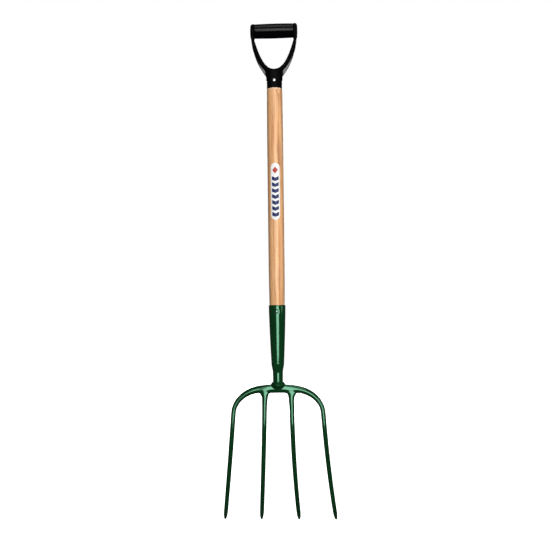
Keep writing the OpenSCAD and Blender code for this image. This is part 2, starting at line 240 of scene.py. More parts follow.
# ---- Materials ----
class Paint:
    """A node material. Each method adds one node and returns its output."""

    def __init__(self, name, **values):
        self.material = bpy.data.materials.new(name)
        self.material.use_nodes = True
        self.tree = self.material.node_tree
        self.shader = self.tree.nodes["Principled BSDF"]
        for key, value in values.items():
            self.shader.inputs[key.replace("_", " ")].default_value = value
        self.object_place = self.node("ShaderNodeTexCoord").outputs["Object"]

    def node(self, kind, **settings):
        made = self.tree.nodes.new(kind)
        for key, value in settings.items():
            setattr(made, key, value)
        return made

    def link(self, source, target):
        self.tree.links.new(source, target)

    def set(self, socket, source):
        self.link(source, self.shader.inputs[socket])

    def stretched(self, scale, shift=(0, 0, 0)):
        """The place in the object's frame, in metres, moved by shift and then scaled."""
        moved = self.node("ShaderNodeVectorMath", operation="ADD")
        self.link(self.object_place, moved.inputs[0])
        moved.inputs[1].default_value = shift
        scaled = self.node("ShaderNodeVectorMath", operation="MULTIPLY")
        self.link(moved.outputs[0], scaled.inputs[0])
        scaled.inputs[1].default_value = scale
        return scaled.outputs[0]

    def noise(self, place, detail=3.0, roughness=0.5):
        made = self.node("ShaderNodeTexNoise")
        self.link(place, made.inputs["Vector"])
        made.inputs["Scale"].default_value = 1
        made.inputs["Detail"].default_value = detail
        made.inputs["Roughness"].default_value = roughness
        return made.outputs["Fac"]

    def math(self, operation, a, b=0.0):
        made = self.node("ShaderNodeMath", operation=operation)
        for socket, value in zip(made.inputs, (a, b)):
            if isinstance(value, (int, float)):
                socket.default_value = value
            else:
                self.link(value, socket)
        return made.outputs[0]

    def remap(self, value, from_low, from_high, to_low, to_high):
        made = self.node("ShaderNodeMapRange", interpolation_type="SMOOTHSTEP")
        self.link(value, made.inputs["Value"])
        numbers = (from_low, from_high, to_low, to_high)
        for key, number in zip(("From Min", "From Max", "To Min", "To Max"), numbers):
            made.inputs[key].default_value = number
        return made.outputs["Result"]

    def ramp(self, value, *stops):
        """Colours along a value, as (place, colour)."""
        made = self.node("ShaderNodeValToRGB")
        self.link(value, made.inputs["Fac"])
        elements = made.color_ramp.elements
        while len(elements) < len(stops):
            elements.new(0.5)
        for element, (place, colour) in zip(elements, stops):
            element.position = place
            element.color = (*colour, 1)
        return made.outputs["Color"]

    def mix(self, amount, base, colour):
        """The colour over the base, by an amount from 0 to 1."""
        made = self.node("ShaderNodeMix", data_type="RGBA", blend_type="MIX")
        amount_in, base_in, colour_in = (made.inputs[i] for i in (0, 6, 7))
        self.link(amount, amount_in)
        self.link(base, base_in)
        colour_in.default_value = (*colour, 1)
        return made.outputs[2]

    def split(self):
        """x, y and z of the place in the object's frame, in metres."""
        made = self.node("ShaderNodeSeparateXYZ")
        self.link(self.object_place, made.inputs[0])
        return made.outputs

    def edges(self, low, high):
        """0 on a flat surface and 1 on outer edges, between two levels of pointiness."""
        made = self.node("ShaderNodeNewGeometry")
        return self.remap(made.outputs["Pointiness"], low, high, 0, 1)

    def bump(self, height, distance, strength):
        made = self.node("ShaderNodeBump")
        made.inputs["Strength"].default_value = strength
        made.inputs["Distance"].default_value = distance
        self.link(height, made.inputs["Height"])
        self.set("Normal", made.outputs[0])


POINT_DARK_HEIGHT = 0.03
BULB_FRONT = (0.0068, 0.0085)


def green_enamel():
    """Glossy paint, rubbed on edges and dark at the points. It is matt on the collar's bulb,
    which stands out in front of the crossbar and behind it."""
    paint = Paint("green_enamel", IOR=1.6)
    paint.shader.inputs["Specular Tint"].default_value = (0.42, 1.0, 0.66, 1)
    cloud = paint.noise(paint.stretched((18, 18, 9)), detail=4)
    base = paint.ramp(
        cloud,
        (0.3, (0.0012, 0.0250, 0.0046)),
        (0.55, (0.0017, 0.0325, 0.0064)),
        (0.75, (0.0026, 0.0410, 0.0090)),
    )
    edge = paint.edges(0.53, 0.6)
    speckle = paint.noise(paint.stretched((420, 420, 420)), detail=3)
    rub = paint.math("MULTIPLY", edge, paint.remap(speckle, 0.5, 0.62, 0, 0.6))
    _, y, z = paint.split()
    # Darker towards the points: specks of near-black over the lowest 30 mm of the tines, strongest
    # at the very points
    tip = paint.remap(z, 0.0, POINT_DARK_HEIGHT, 0.7, 0.0)
    point_darkening = paint.math("MULTIPLY", tip, paint.remap(speckle, 0.46, 0.6, 0, 1))
    worn = paint.mix(rub, base, (0.020, 0.060, 0.036))
    in_front = paint.remap(paint.math("ABSOLUTE", y), *BULB_FRONT, 0, 1)
    over = paint.remap(z, (CROSSBAR_Z - 4) * MM, (CROSSBAR_Z + 1) * MM, 0, 1)
    under = paint.remap(z, (COLLAR_Z - 1) * MM, (COLLAR_Z + 2) * MM, 1, 0)
    bulb = paint.math("MULTIPLY", in_front, paint.math("MULTIPLY", over, under))
    paint.set("Base Color", paint.mix(point_darkening, worn, (0.005, 0.008, 0.006)))
    smear = paint.noise(paint.stretched((60, 60, 22)), detail=5)
    gloss = paint.remap(smear, 0.3, 0.75, 0.07, 0.15)
    paint.set("Roughness", paint.math("ADD", gloss, paint.math("MULTIPLY", bulb, 0.3)))
    paint.set("Specular IOR Level", paint.remap(bulb, 0, 1, 1.0, 0.2))
    peel = paint.noise(paint.stretched((340, 340, 340)), detail=2)
    paint.bump(peel, 0.00004, 0.3)
    return paint.material


RINGS_PER_METRE = 330


def ash_wood():
    """Varnished ash. Its rings run round a pith beside the shaft that leans away from it, with
    streaks and pores along the grain."""
    paint = Paint("ash_wood", Coat_Weight=0.35, Coat_Roughness=0.28, Specular_IOR_Level=0.6)
    paint.shader.inputs["Specular Tint"].default_value = (1.0, 0.96, 0.7, 1)
    warp = paint.noise(paint.stretched((9, 9, 3.2), shift=(0.3, 0.1, 0)), detail=2)
    x, y, z = paint.split()
    pith_x = paint.math("ADD", paint.math("ADD", x, 0.012), paint.math("MULTIPLY", z, 0.020))
    pith_y = paint.math("ADD", paint.math("ADD", y, -0.055), paint.math("MULTIPLY", warp, 0.02))
    squares = [paint.math("MULTIPLY", side, side) for side in (pith_x, pith_y)]
    distance = paint.math("SQRT", paint.math("ADD", *squares))
    rings = paint.math("FRACT", paint.math("MULTIPLY", distance, RINGS_PER_METRE))
    early = paint.remap(rings, 0.55, 1.0, 0, 1)
    streak = paint.noise(paint.stretched((330, 330, 8)), detail=5, roughness=0.65)
    broad = paint.noise(paint.stretched((120, 120, 2.4)), detail=3)
    pores = paint.noise(paint.stretched((800, 800, 26), shift=(0.1, 0, 0.2)), detail=3)
    base = paint.ramp(
        broad,
        (0.30, (0.55, 0.228, 0.090)),
        (0.50, (0.70, 0.330, 0.135)),
        (0.70, (0.82, 0.445, 0.200)),
    )
    grain = paint.mix(paint.math("MULTIPLY", early, 0.7), base, (0.38, 0.145, 0.058))
    streaked = paint.mix(paint.remap(streak, 0.38, 0.66, 0.0, 0.7), grain, (0.86, 0.52, 0.27))
    porous = paint.remap(rings, 0.4, 1, 0.3, 1)
    fleck = paint.math("MULTIPLY", paint.remap(pores, 0.54, 0.64, 0, 0.6), porous)
    flecked = paint.mix(fleck, streaked, (0.30, 0.13, 0.055))
    # A paler band on the wood over the last few millimetres under the grip's socket
    pale_top_band = paint.remap(z, (SOCKET_Z - 5) * MM, (SOCKET_Z - 2) * MM, 0, 0.45)
    paint.set("Base Color", paint.mix(pale_top_band, flecked, (0.75, 0.62, 0.48)))
    paint.set("Roughness", paint.remap(streak, 0.3, 0.75, 0.34, 0.5))
    relief = paint.math("SUBTRACT", streak, paint.math("MULTIPLY", fleck, 0.9))
    paint.bump(relief, 0.00015, 0.5)
    return paint.material


WEB_FACE = (0.0034, 0.0050)


def moulded_plastic(name, shade, rough, level, web_level=None, matt_below=None):
    """Black plastic. With web_level, the web at the arms' outsides, which is thin from front to
    back, is smoother and shinier than the rest. With matt_below, the surface loses its sheen
    under that height, in millimetres."""
    paint = Paint(name, Specular_IOR_Level=level)
    cloud = paint.noise(paint.stretched((40, 40, 40)), detail=4)
    low = tuple(c * 0.8 for c in shade)
    high = tuple(c * 1.3 for c in shade)
    base = paint.ramp(cloud, (0.35, low), (0.65, high))
    edge = paint.edges(0.54, 0.62)
    point_darkening = paint.noise(paint.stretched((600, 600, 600)), detail=2)
    worn = paint.math("MULTIPLY", edge, paint.remap(point_darkening, 0.45, 0.6, 0, 0.4))
    paint.set("Base Color", paint.mix(worn, base, (0.014, 0.0145, 0.016)))
    roughness = paint.remap(cloud, 0.3, 0.7, rough - 0.05, rough + 0.07)
    if web_level:
        depth = paint.math("ABSOLUTE", paint.split()[1])
        paint.set("Specular IOR Level", paint.remap(depth, *WEB_FACE, web_level, level))
        smoother = paint.remap(depth, *WEB_FACE, 0.3, 0)
        roughness = paint.math("SUBTRACT", roughness, smoother)
    if matt_below:
        height = paint.split()[2]
        sheen = paint.remap(height, (matt_below - 2) * MM, (matt_below + 2) * MM, 0.0, level)
        paint.set("Specular IOR Level", sheen)
    paint.set("Roughness", roughness)
    grain = paint.noise(paint.stretched((1700, 1700, 1700)), detail=1)
    paint.bump(grain, 0.00006, 0.4)
    return paint.material


def rivet_steel(name, low, high):
    """Bare steel, between two shades."""
    paint = Paint(name, Metallic=1.0)
    cloud = paint.noise(paint.stretched((700, 700, 700)), detail=3)
    base = paint.ramp(cloud, (0.3, low), (0.7, high))
    paint.set("Base Color", base)
    paint.set("Roughness", paint.remap(cloud, 0.3, 0.7, 0.28, 0.45))
    paint.bump(cloud, 0.0001, 0.4)
    return paint.material


def label_print(name, low, high):
    """Ink on a film with a slight ripple, between two shades."""
    paint = Paint(name, Specular_IOR_Level=0.25)
    cloud = paint.noise(paint.stretched((900, 900, 900)), detail=3)
    paint.set("Base Color", paint.ramp(cloud, (0.3, low), (0.7, high)))
    paint.set("Roughness", paint.remap(cloud, 0.3, 0.7, 0.28, 0.4))
    ripple = paint.noise(paint.stretched((260, 260, 60)), detail=2)
    paint.bump(ripple, 0.00008, 0.3)
    return paint.material


GREEN = green_enamel()
WOOD = ash_wood()
BLACK = moulded_plastic("grip_plastic", (0.0012, 0.0013, 0.0016), 0.5, 0.04, web_level=0.9)
BAR_BLACK = moulded_plastic(
    "bar_plastic", (0.0012, 0.0013, 0.0020), 0.16, 0.22, matt_below=BAR_Z - 4
)
STEEL = rivet_steel("rivet_steel", (0.60, 0.62, 0.61), (0.82, 0.84, 0.83))
DULL_STEEL = rivet_steel("rivet_steel_dull", (0.12, 0.21, 0.17), (0.20, 0.32, 0.27))


# ---- Fork head ----
# The head lies on a dished sheet, which bends towards +Y at the points. A place on it is x, the
# drop u below the crossbar, and the height w in front of the sheet.
DISH_R = 520.0
DISH_LEAD = math.radians(11)
HALF_BAR = 36.0
SHOULDER_W, SHOULDER_H = 70.5, 58.0
OUTER_LEAN, OUTER_BOW_R = math.tan(math.radians(4)), 3600.0
INNER_HALF, INNER_LEAN, INNER_BOW_R = 31.5, math.tan(math.radians(0.7)), 5000.0
BAR_HALF_H, BAR_HALF_D, BAR_RISE = 9.0, 6.5, 2.4
TINE_TOP_R, TINE_END_R, TINE_DEPTH = 5.9, 5.2, 0.9
POINT_L = 20.0
CAGE_SIDES = 8
# Subdivision rounds an octagon and makes it smaller, so its corners are moved out by this
CAGE_GROW = 3 / (2 + math.cos(math.radians(45)))


def dish_angle(u):
    return np.arcsin(u / DISH_R - math.sin(DISH_LEAD))


def on_dish(x, u, w):
    """The place in space of a place on the dished sheet."""
    angle = dish_angle(u)
    y = DISH_R * (math.cos(DISH_LEAD) - np.cos(angle)) - np.cos(angle) * w
    return np.stack([x, y, CROSSBAR_Z - u - np.sin(angle) * w], -1)


def tine_half(u):
    """Half a tine's width."""
    t = u / (CROSSBAR_Z - POINT_L)
    return TINE_TOP_R * (1 - t) + TINE_END_R * t


def inner_x(u):
    """Where an inner tine's middle line is."""
    return INNER_HALF + u * INNER_LEAN + u * u / (2 * INNER_BOW_R)


SHOULDER_END = math.atan(SHOULDER_W / SHOULDER_H / OUTER_LEAN)
OUTER_X0 = HALF_BAR + SHOULDER_W * math.sin(SHOULDER_END)
OUTER_U0 = SHOULDER_H * (1 - math.cos(SHOULDER_END))


def outer_x(u):
    """Where an outer tine's middle line is, below the shoulder."""
    d = u - OUTER_U0
    return OUTER_X0 + d * OUTER_LEAN + d * d / (2 * OUTER_BOW_R)


def point_sizes():
    """(drop, share of the tine's width) along a tine's point."""
    lengths = ((POINT_L, 1), (13, 0.89), (7, 0.74), (2.8, 0.54), (0.4, 0.3))
    return [(CROSSBAR_Z - length, share) for length, share in lengths]


class Cage:
    """A coarse mesh on the dished sheet, in (x, u, w), that subdivision makes round."""

    def __init__(self):
        self.points, self.faces = [], []

    def ring(self, x, u, across, half, deep, flat=0.0, tilt=0.0):
        """Eight points round (x, u). The first one is on the side that the vector across points
        to. Half and deep are half the width and half the depth. A positive flat fills out the
        section's corners, and a negative one leaves a ridge along its front and back. The tilt,
        in degrees, turns the front of the section away from the first point's side."""
        made = []
        turn = math.radians(tilt)
        for k in range(CAGE_SIDES):
            a = math.radians(45 * k)
            side, front = math.cos(a) * half, math.sin(a) * deep
            if k % 2:
                front *= 1 + flat * 0.36
                side *= 1 + flat * 0.1
            place = (side * math.cos(turn) - front * math.sin(turn)) * CAGE_GROW
            lift = (side * math.sin(turn) + front * math.cos(turn)) * CAGE_GROW
            made.append(len(self.points))
            self.points.append((x + across[0] * place, u + across[1] * place, lift))
        return made

    def join(self, a, b, skip=()):
        """Faces between two rings, but for the sides in skip."""
        for k in range(CAGE_SIDES):
            n = (k + 1) % CAGE_SIDES
            if k not in skip:
                self.faces.append([a[k], a[n], b[n], b[k]])

    def cap(self, ring):
        self.faces.append(list(ring))


# Rings of the cage on half the bar's flat part, as (x, flatness), and along a shoulder
BAR_RINGS = ((12.0, 0.1), (19.5, 0.3), (INNER_HALF, 0.3), (43.5, -0.5))
MIDDLE_FLAT = 0.1
SHOULDER_RINGS = 12
BAR_TILT, SHOULDER_TILT = 7, 9
SHOULDER_SWELL = 0.8


def arch_stations():
    """(x, u, outward direction, half width, half depth, flatness, tilt) of the rings along one
    half of the arch and down its outer tine."""
    stations = []
    for x, flat in BAR_RINGS:
        rise = BAR_RISE / 2 * max(0, 1 - (x / HALF_BAR) ** 4)
        tilt = BAR_TILT * rise
        stations.append((x, -rise, (0, -1), BAR_HALF_H + rise, BAR_HALF_D, flat, tilt))
    for i in range(2, SHOULDER_RINGS + 1):
        a = SHOULDER_END * i / SHOULDER_RINGS
        t = i / SHOULDER_RINGS
        u = SHOULDER_H * (1 - math.cos(a))
        bar_part = (1 - t) ** 1.4
        half = BAR_HALF_H * bar_part + tine_half(u) * (1 - bar_part)
        deep = BAR_HALF_D * (1 - t) + tine_half(u) * TINE_DEPTH * t
        deep += SHOULDER_SWELL * math.sin(math.pi * t)
        slope = np.array([SHOULDER_H * math.sin(a), -SHOULDER_W * math.cos(a)])
        slope /= np.linalg.norm(slope)
        x = HALF_BAR + SHOULDER_W * math.sin(a)
        ridge = -math.sin(math.pi * min(1, 0.25 + t * 0.75))
        tilt = SHOULDER_TILT * max(0, 1 - 1.6 * t)
        stations.append((x, u, tuple(slope), half, deep, ridge, tilt))
    drops = list(np.linspace(OUTER_U0, CROSSBAR_Z - POINT_L, 12)[1:-1])
    for u, share in [(u, 1) for u in drops] + point_sizes():
        half = tine_half(u) * share
        stations.append((outer_x(u), u, (1, 0), half, half * TINE_DEPTH, 0.0, 0.0))
    return stations


# Where an inner tine leaves the bar: (drop, how far outwards, half width) of its first rings
ROOT_RINGS = ((12.5, 0.9, 9.6), (17.5, -0.3, 7.5), (24, -0.3, 6.8), (32, 0.1, 6.35), (42, 0.3, 6.0))
ROOT_END = 58


def inner_tine_stations():
    """(drop, how far outwards of the middle line, half width) of the rings down an inner tine."""
    stations = list(ROOT_RINGS)
    drops = np.linspace(ROOT_END, CROSSBAR_Z - POINT_L, 11)[:-1]
    stations += [(u, 0, tine_half(u)) for u in drops]
    stations += [(u, 0, tine_half(u) * share) for u, share in point_sizes()]
    return stations


def fork_head():
    """The crossbar and the four tines. The inner tines grow from open sides of the bar's rings."""
    cage = Cage()
    half = arch_stations()
    left = [(-s[0], s[1], (-s[2][0], s[2][1]), *s[3:]) for s in reversed(half)]
    rise = BAR_RISE / 2
    tilt = BAR_TILT * rise
    centre = (0.0, -rise, (0, -1), BAR_HALF_H + rise, BAR_HALF_D, MIDDLE_FLAT, tilt)
    rings = [cage.ring(*s) for s in left + [centre] + half]
    middle = len(left)
    for i, (a, b) in enumerate(zip(rings, rings[1:])):
        root = i - middle in (2, 3, -4, -3)
        cage.join(a, b, skip=(3, 4) if root else ())
    cage.cap(rings[0])
    cage.cap(rings[-1])
    for side in (-1, 1):
        at = middle + side * 3
        a, b, c = rings[at - 1], rings[at], rings[at + 1]
        last = [a[4], a[3], b[3], c[3], c[4], c[5], b[5], a[5]]
        for u, aside, width in inner_tine_stations():
            deep = min(tine_half(u), width) * TINE_DEPTH + math.exp(-u / 14)
            x = side * (inner_x(u) + aside)
            ring = cage.ring(x, u, (-1, 0), width, deep, flat=0.6 * math.exp(-u / 20))
            cage.join(last, ring)
            last = ring
        cage.cap(last)
    used = sorted({i for face in cage.faces for i in face})
    renumber = {old: new for new, old in enumerate(used)}
    points = np.array([cage.points[i] for i in used])
    faces = [[renumber[i] for i in face] for face in cage.faces]
    limbs = mesh_object("fork_head_visual", on_dish(*points.T), faces)
    return applied(limbs, ("SUBSURF", {"levels": 2, "render_levels": 2}))


def head_collar():
    """The bulb, collar, shank and tang that stand on the crossbar, as a mesh to be joined on."""
    z = CROSSBAR_Z
    profile = [(0, z + 1), (6, z + 1.1)]
    profile += arc(9.5, z + 6.5, 5.3, -90, -40, 4)
    profile += arc(11.8, z + 10.5, 5.5, -30, 50, 8)
    profile += [(14.4, z + 16), (13.6, z + 17.3), (12.7, COLLAR_Z - 0.1)]
    profile += [(10, COLLAR_Z), (10, COLLAR_Z + 25)]
    profile += [(6.5, COLLAR_Z + 31), (3.4, COLLAR_Z + 133), (0, COLLAR_Z + 139)]
    return lathe("collar", profile, 96)


def join_collar(head, collar):
    applied(head, ("BOOLEAN", {"operation": "UNION", "solver": "EXACT", "object": collar}))
    bpy.data.objects.remove(collar)
    return crease(head, 38)


finished(join_collar(fork_head(), head_collar()), GREEN, "painted_steel", "fork_head")


# ---- Ferrule ----
NECK_R, NECK_GROW = 12.0, 0.1
NECK_TOP = COLLAR_Z + 21
CONE_LOW, CONE_LOW_R = NECK_TOP + 24, 15.2
WALL = 1.8
RIVET_Z = FERRULE_TOP - 15.5
RIM_R = 1.3
DIMPLE_R, DIMPLE_DEPTH = 8.5, 0.75


def ferrule_r(z):
    """The ferrule's outer radius: a neck, a shoulder, and a cone that gets steadily slimmer."""
    neck = NECK_R + NECK_GROW * (z - COLLAR_Z) / (NECK_TOP - COLLAR_Z)
    shoulder = NECK_R + NECK_GROW
    shoulder = shoulder + (CONE_LOW_R - shoulder) * smooth((z - NECK_TOP) / (CONE_LOW - NECK_TOP))
    share = np.clip((FERRULE_TOP - z) / (FERRULE_TOP - CONE_LOW), 0, 1)
    cone = FERRULE_R - (FERRULE_R - CONE_LOW_R) * share**1.4
    return np.where(z < NECK_TOP, neck, np.where(z < CONE_LOW, shoulder, cone))


def ferrule():
    """The tube with its rolled top rim and, at the front, the dimple under the rivet's head."""
    outside = [(float(ferrule_r(z)), z) for z in np.arange(COLLAR_Z, FERRULE_TOP - 3, 1.5)]
    profile = outside + [(FERRULE_R - 0.35, FERRULE_TOP - 2.9)]
    profile += arc(FERRULE_R - RIM_R, FERRULE_TOP - RIM_R, RIM_R, -30, 120, 8)
    profile += [(SHAFT_R - 0.9, FERRULE_TOP - 1.2), (FERRULE_R - WALL, FERRULE_TOP - 4)]
    inside = [(r - WALL, z) for r, z in outside[::-4] if z < FERRULE_TOP - 8]
    piece = lathe("ferrule_visual", profile + inside, 128)
    for vertex in piece.data.vertices:
        p = np.array(vertex.co) / MM
        if p[1] < 0 and math.hypot(p[0], p[1]) > FERRULE_R - 1.5:
            away = math.hypot(p[0], p[2] - RIVET_Z) / DIMPLE_R
            if away < 1:
                vertex.co.y += DIMPLE_DEPTH * (1 - smooth(away)) * MM
    return crease(piece, 50)


finished(ferrule(), GREEN, "painted_steel", "ferrule")


# ---- Shaft ----
SWELL_LOW, SWELL_HIGH = 640.0, 880.0
SHAFT_LOW_R = FERRULE_R - WALL - 0.1
TENON_R, TENON_CHAMFER = 15.5, 2


def shaft_r(z):
    """The shaft's radius between the ferrule and the grip, thickest along its swell."""
    if z < SWELL_LOW:
        below = (SWELL_LOW - z) / (SWELL_LOW - FERRULE_TOP)
        return SHAFT_R - (SHAFT_R - SHAFT_LOW_R) * below**2
    if z < SWELL_HIGH:
        return SHAFT_R
    above = (z - SWELL_HIGH) / (SOCKET_Z - SWELL_HIGH)
    return SHAFT_R - (SHAFT_R - SOCKET_R) * above**2


def shaft():
    """The shaft from inside the ferrule to the tenon inside the grip's socket."""
    inside = np.linspace(shaft_low[2], FERRULE_TOP - 4, 16)
    profile = [(0, shaft_low[2])]
    profile += [(float(ferrule_r(z)) - WALL - 0.15, z) for z in inside]
    profile += [(shaft_r(z), z) for z in np.linspace(FERRULE_TOP, SOCKET_Z - 0.8, 60)]
    profile += [(SOCKET_R - 0.6, SOCKET_Z - 0.15), (TENON_R, SOCKET_Z - 0.1)]
    top = shaft_high[2]
    profile += [(TENON_R, top - TENON_CHAMFER), (TENON_R - TENON_CHAMFER, top), (0, top)]
    return crease(lathe("shaft_visual", profile, 96), 40)


finished(shaft(), WOOD, "ash_wood", "shaft")


# ---- Label ----
LABEL_Z = (label_low[2] + label_high[2]) / 2
LABEL_HALF_W = 11.0
LABEL_HALF_L = (label_high[2] - label_low[2]) / 2
FILM = 0.1
PRINT_LIFT = 0.19
FILM_ROWS = 24


def wrapped(name, columns, lift):
    """A thin film round the front of the shaft, its outside at a lift over the wood. Each column
    is (place across, lowest z, highest z)."""
    rows = FILM_ROWS
    flat = [(s, z) for s, low, high in columns for z in np.linspace(low, high, rows + 1)]
    points = []
    for r in (SHAFT_R + lift - FILM, SHAFT_R + lift):
        points += [(r * math.sin(s / SHAFT_R), -r * math.cos(s / SHAFT_R), z) for s, z in flat]
    across, count = len(columns), len(flat)

    def at(i, j, layer):
        return layer * count + i * (rows + 1) + j

    faces = []
    for layer in (0, 1):
        for i in range(across - 1):
            for j in range(rows):
                corners = ((i, j), (i + 1, j), (i + 1, j + 1), (i, j + 1))
                faces.append([at(*corner, layer) for corner in corners])
    rim = [(i, 0) for i in range(across)] + [(across - 1, j) for j in range(1, rows + 1)]
    rim += [(i, rows) for i in range(across - 2, -1, -1)] + [(0, j) for j in range(rows - 1, 0, -1)]
    for (i, j), (m, n) in zip(rim, rim[1:] + rim[:1]):
        faces.append([at(i, j, 0), at(m, n, 0), at(m, n, 1), at(i, j, 1)])
    return crease(mesh_object(name, points, faces), 50)


def capsule(half_w, half_l, z):
    """The columns of a strip with round ends."""
    columns = []
    for s in half_w * np.sin(np.radians(np.linspace(-88, 88, 25))):
        round_h = math.sqrt(half_w**2 - s**2)
        columns.append((s, z - half_l + half_w - round_h, z + half_l - half_w + round_h))
    return columns


def chevron(half_w, height, z, rise):
    """The columns of a band whose arms go up by rise, per millimetre from its middle."""
    columns = []
    for s in np.linspace(-half_w, half_w, 17):
        columns.append((s, z - height / 2 + rise * abs(s), z + height / 2 + rise * abs(s)))
    return columns


def diamond(half_w, half_h, z):
    """The columns of a diamond, which stops just short of its side corners."""
    columns = []
    for s in np.linspace(-half_w * 0.97, half_w * 0.97, 17):
        share = 1 - abs(s) / half_w
        columns.append((s, z - half_h * share, z + half_h * share))
    return columns


WHITE_PRINT = label_print("label_white", (0.74, 0.75, 0.74), (0.84, 0.85, 0.84))
NAVY_PRINT = label_print("label_navy", (0.006, 0.014, 0.085), (0.010, 0.022, 0.115))
RUST_PRINT = label_print("label_rust", (0.36, 0.022, 0.012), (0.46, 0.035, 0.018))

finished(
    wrapped("label_film", capsule(LABEL_HALF_W, LABEL_HALF_L, LABEL_Z), FILM),
    WHITE_PRINT,
    "label_film",
    "shaft_label",
)
# The printed design, a column of chevrons under a diamond, with heights from the label's middle
CHEVRONS, TOP_CHEVRON, CHEVRON_PITCH = 7, 28, 14
CHEVRON_HALF_W, CHEVRON_H, CHEVRON_RISE = 8.2, 8.4, 0.45
DIAMOND_UP, DIAMOND_HALF_W, DIAMOND_HALF_H = 50, 6.5, 8.5
for i in range(CHEVRONS):
    z = LABEL_Z + TOP_CHEVRON - CHEVRON_PITCH * i
    columns = chevron(CHEVRON_HALF_W, CHEVRON_H, z, CHEVRON_RISE)
    finished(wrapped(f"label_chevron_{i}", columns, PRINT_LIFT), NAVY_PRINT, "label_film")
columns = diamond(DIAMOND_HALF_W, DIAMOND_HALF_H, LABEL_Z + DIAMOND_UP)
finished(wrapped("label_diamond", columns, PRINT_LIFT), RUST_PRINT, "label_film")


# ---- D grip ----
CROTCH_Z = BAR_Z - 93.5
# The opening's edge is at crotch + a x^2 + b x^4, and the outline at half - c fall - d fall^3,
# where the fall is the distance under the place at which the arms are widest
OPENING_2, OPENING_4 = 0.028, 0.000002
OUTLINE_1, OUTLINE_3, WIDEST_OVER_BAR = 0.083, 0.0000202, 1.6
# Half the arms' depth, which grows towards the socket, and the ribs' width, which grows towards
# the bar
ARM_DEPTH, ARM_DEPTH_MORE = 11, 4
RIB_W, RIB_W_MORE = 7.2, 3.5
RIB_FOOT, WEB_FOOT, WEB_HALF = 22, 14, 3.2
SOCKET_L = 46
BORE_R, BORE_L = 15.6, 43.5
GRIP_RIVET_Z, RIVET_HOLE_R = SOCKET_Z + 17, 2.3
SPINDLE_HOLE_R, RECESS_R, RECESS_DEPTH = 4, 7.5, 2.6


def yoke_field(p):
    """Roughly the distance to the surface of the D, and less than 0 inside it. The D is made of
    ribs along the opening, a web outside them, a flat shield under the opening, the socket and
    the ears."""
    x, y, z = np.abs(p[..., 0]), np.abs(p[..., 1]), p[..., 2]
    opening_z = CROTCH_Z + OPENING_2 * x**2 + OPENING_4 * x**4
    opening_slope = 2 * OPENING_2 * x + 4 * OPENING_4 * x**3
    under = np.maximum((opening_z - z) / np.sqrt(1 + opening_slope**2), x - EAR_INNER)
    fall = BAR_Z + WIDEST_OVER_BAR - z
    outline = GRIP_HALF - OUTLINE_1 * fall - OUTLINE_3 * fall**3
    beyond = (x - outline) / np.sqrt(1 + (OUTLINE_1 + 3 * OUTLINE_3 * fall**2) ** 2)
    arm_depth = ARM_DEPTH + ARM_DEPTH_MORE * smooth((CROTCH_Z + 6 - z) / 30)
    above = z - BAR_Z
    rib_w = RIB_W + RIB_W_MORE * smooth((z - CROTCH_Z - 34) / 30)
    rib = soft_max(soft_max(-under, under - rib_w, 2), y - arm_depth, 6)
    rib = np.maximum(soft_max(rib, beyond, 2.5), above)
    rib = np.maximum(rib, SOCKET_Z + RIB_FOOT - z)
    web = soft_max(soft_max(-under, beyond, 1.5), y - WEB_HALF, 1.5)
    web = np.maximum(np.maximum(web, above), SOCKET_Z + WEB_FOOT - z)
    round_r = np.hypot(x, y)
    socket = soft_max(round_r - SOCKET_R, z - SOCKET_Z - SOCKET_L, 9)
    socket = soft_max(soft_max(socket, SOCKET_Z - z, 1.2), -under, 3)
    shield = soft_max(np.maximum(-under, round_r - SOCKET_R), y - arm_depth, 6)
    shield = np.maximum(shield, SOCKET_Z + RIB_FOOT - z)
    bar_r = np.hypot(y, z - BAR_Z)
    ear = soft_max(soft_max(bar_r - BAR_R, x - GRIP_HALF, 7), EAR_INNER - x, 1.2)
    body = soft_min(soft_min(soft_min(rib, shield, 3), socket, 5), web, 3)
    body = soft_min(body, ear, 4)
    above_bore = z - SOCKET_Z - BORE_L
    bore = np.maximum(round_r - BORE_R, above_bore)
    bore = np.maximum(bore, (round_r - BORE_R + above_bore + TENON_CHAMFER) / math.sqrt(2))
    rivet_hole = np.hypot(x, z - GRIP_RIVET_Z) - RIVET_HOLE_R
    recess = np.maximum(bar_r - RECESS_R, GRIP_HALF - RECESS_DEPTH - x)
    spindle_hole = bar_r - SPINDLE_HOLE_R
    for hole in (bore, rivet_hole, recess, spindle_hole):
        body = soft_max(body, -hole, 0.6)
    return np.maximum(body, np.maximum(x - GRIP_HALF, y - BAR_R))


def grip_yoke():
    """The D: a socket, two ribbed arms with a web along their outsides, and two ears."""
    margin = 1.5
    step = 0.8
    low, high = yoke_low - margin, yoke_high + margin
    return crease(surface_net("grip_yoke_visual", yoke_field, low, high, step), 60)


finished(grip_yoke(), BLACK, "black_plastic", "grip_yoke")


BARREL_CROWN = 0.7


def grip_barrel():
    """The hand bar, a little thicker in its middle, with rounded ends and a hole through it."""
    half, end_r = barrel_high[0], BAR_R - BARREL_CROWN
    outside = [
        (end_r + (BAR_R - end_r) * math.cos(math.pi / 2 * t), t * (half - 1))
        for t in np.linspace(-1, 1, 31)
    ]
    left, right = arc(end_r - 1, 1 - half, 1, -90, -30, 2), arc(end_r - 1, half - 1, 1, 30, 90, 2)
    profile = left + outside + right + [(SPINDLE_HOLE_R, half), (SPINDLE_HOLE_R, -half)]
    return crease(lathe("grip_barrel_visual", profile, 96, "x", (0, 0, BAR_Z)), 50)


finished(grip_barrel(), BAR_BLACK, "bar_plastic", "grip_barrel")


CAP_SINK = 0.6
# (radius, depth under the cap's middle) from its middle over its rim to its hollow inside
CAP_PROFILE = (
    (0, 0),
    (4, 0.06),
    (6.4, 0.35),
    (7.1, 0.9),
    (7.4, 1.9),
    (4.1, 1.9),
    (4.0, 1),
    (0, 1),
)


